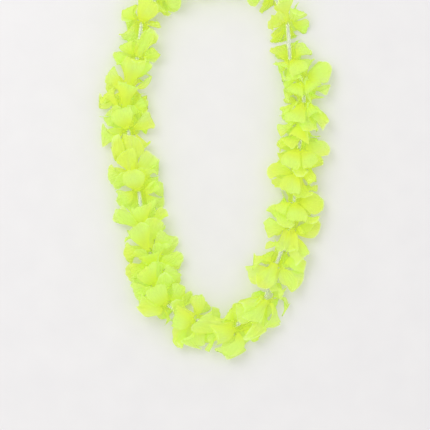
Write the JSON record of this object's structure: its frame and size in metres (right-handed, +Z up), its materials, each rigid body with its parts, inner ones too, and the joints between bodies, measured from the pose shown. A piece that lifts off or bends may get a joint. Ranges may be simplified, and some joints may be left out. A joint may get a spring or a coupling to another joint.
{
  "type": "fabric flower lei",
  "caption": "Closed lei of thin cloth blooms threaded with clear spacer tubes between them, laid flat in a long U, worn round the neck as a party garland.",
  "frame": {"origin": "on the surface that the lei lies on, under the middle of its outline", "axes": "+Y from the middle of the lei's low front end, in view in the picture, towards the part behind the neck; +X to the right as seen from above; +Z up from the surface"},
  "size_m": [0.245, 0.436, 0.0364],
  "materials": {
    "cloth": "thin translucent polyester, neon yellow",
    "tube": "clear",
    "thread": "white polyester thread"
  },
  "bodies": {
    "root": {"thread": "thread", "bloom_01": "cloth", "bloom_02": "cloth", "bloom_03": "cloth", "bloom_04": "cloth", "bloom_05": "cloth", "bloom_06": "cloth", "bloom_07": "cloth", "bloom_08": "cloth", "bloom_09": "cloth", "bloom_10": "cloth", "bloom_11": "cloth", "bloom_12": "cloth", "bloom_13": "cloth", "bloom_14": "cloth", "bloom_15": "cloth", "bloom_16": "cloth", "bloom_17": "cloth", "bloom_18": "cloth", "bloom_19": "cloth", "bloom_20": "cloth", "bloom_21": "cloth", "bloom_22": "cloth", "bloom_23": "cloth", "bloom_24": "cloth", "bloom_25": "cloth", "bloom_26": "cloth", "bloom_27": "cloth", "bloom_28": "cloth", "bloom_29": "cloth", "tube_01": "tube", "tube_02": "tube", "tube_03": "tube", "tube_04": "tube", "tube_05": "tube", "tube_06": "tube", "tube_07": "tube", "tube_08": "tube", "tube_09": "tube", "tube_10": "tube", "tube_11": "tube", "tube_12": "tube", "tube_13": "tube", "tube_14": "tube", "tube_15": "tube", "tube_16": "tube", "tube_17": "tube", "tube_18": "tube", "tube_19": "tube", "tube_20": "tube", "tube_21": "tube", "tube_22": "tube", "tube_23": "tube", "tube_24": "tube", "tube_25": "tube", "tube_27": "tube", "tube_28": "tube", "tube_29": "tube"}
  },
  "joints": []
}
